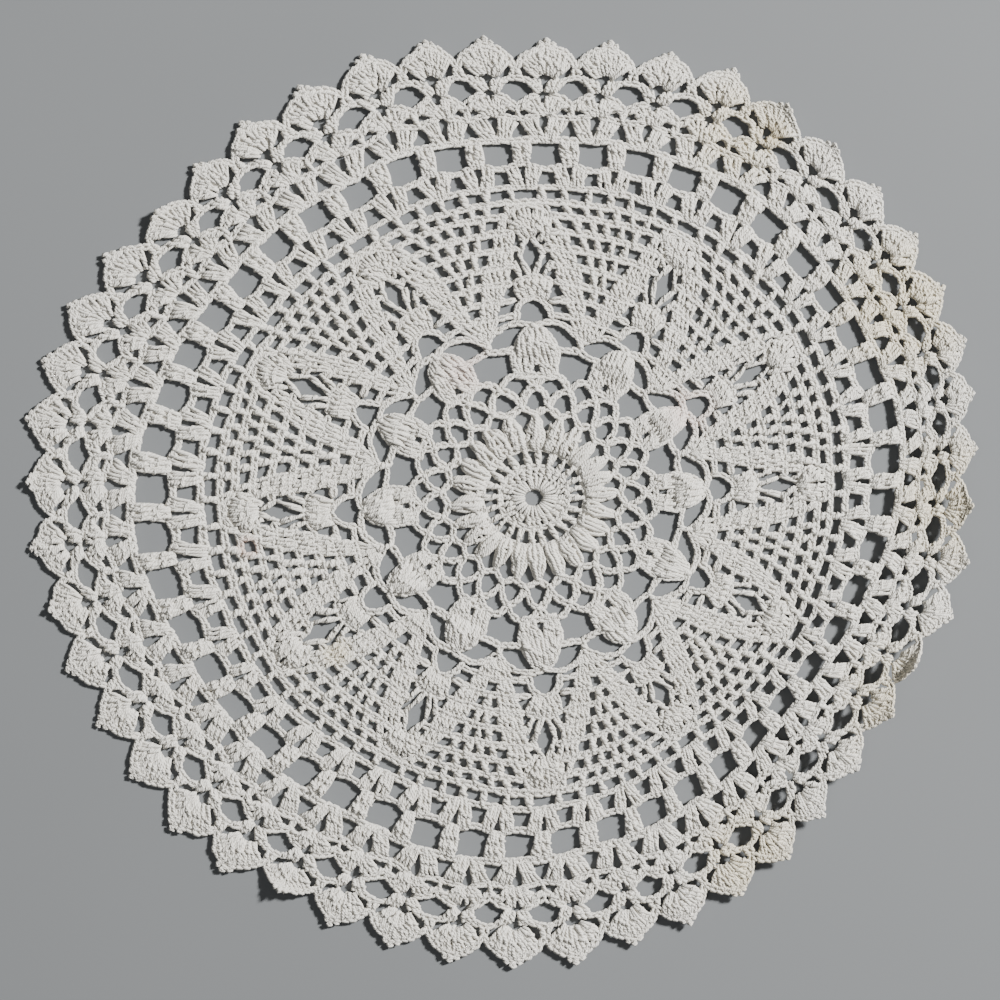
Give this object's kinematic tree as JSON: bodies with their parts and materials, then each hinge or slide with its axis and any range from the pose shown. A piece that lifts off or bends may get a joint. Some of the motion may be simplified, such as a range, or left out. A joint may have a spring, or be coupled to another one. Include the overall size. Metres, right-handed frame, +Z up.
{
  "type": "crocheted lace doily",
  "caption": "Round crocheted cotton doily with leaf motifs, a pointed star, a ladder round and a scalloped edge, for under a vase or lamp.",
  "frame": {"origin": "middle of the doily's bounding box, on the surface that it lies on", "axes": "+Z up from the surface, +Y toward the edge at the top of the view, +X toward the edge that curls up"},
  "size_m": [0.2856, 0.2812, 0.0097],
  "materials": {
    "cotton_thread": "off-white crochet cotton, matt"
  },
  "bodies": {
    "root": {"doily": "cotton_thread"}
  },
  "joints": []
}
